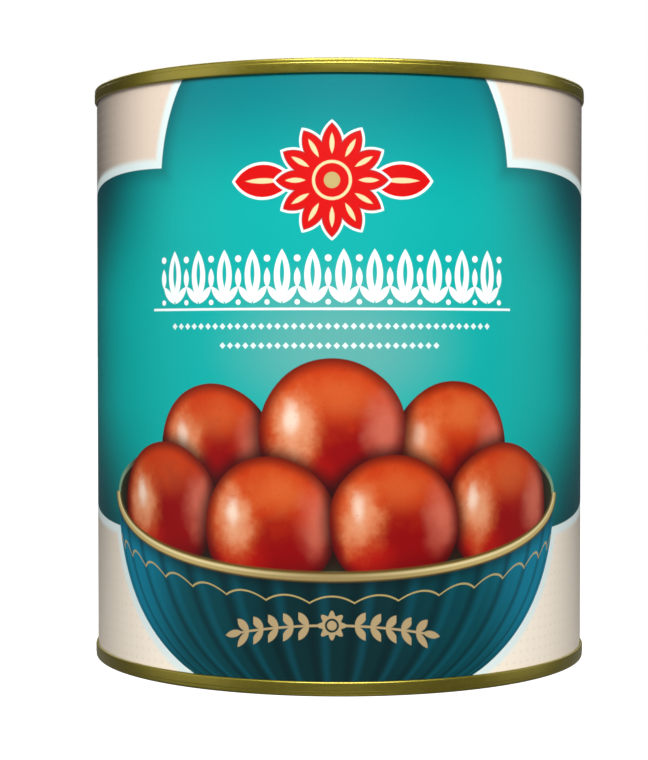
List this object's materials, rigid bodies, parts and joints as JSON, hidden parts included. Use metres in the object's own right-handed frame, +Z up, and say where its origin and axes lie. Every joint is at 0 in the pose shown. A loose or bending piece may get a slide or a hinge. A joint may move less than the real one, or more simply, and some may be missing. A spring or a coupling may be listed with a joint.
{
  "type": "sealed food can",
  "caption": "Closed round food can of printed tinplate, with a gold-lacquered double-seamed end above and below.",
  "frame": {"origin": "on the can's axis, in the plane it stands on", "axes": "+Z up along the can's axis; -Y towards the middle of the printed front; +X towards the side weld"},
  "size_m": [0.1028, 0.1028, 0.118],
  "materials": {
    "printed_tinplate": "satin varnish over print",
    "gold_lacquer": "satin gold lacquer over tinplate"
  },
  "bodies": {
    "root": {"can_body": "printed_tinplate", "top_end": "gold_lacquer", "bottom_end": "gold_lacquer"}
  },
  "joints": []
}
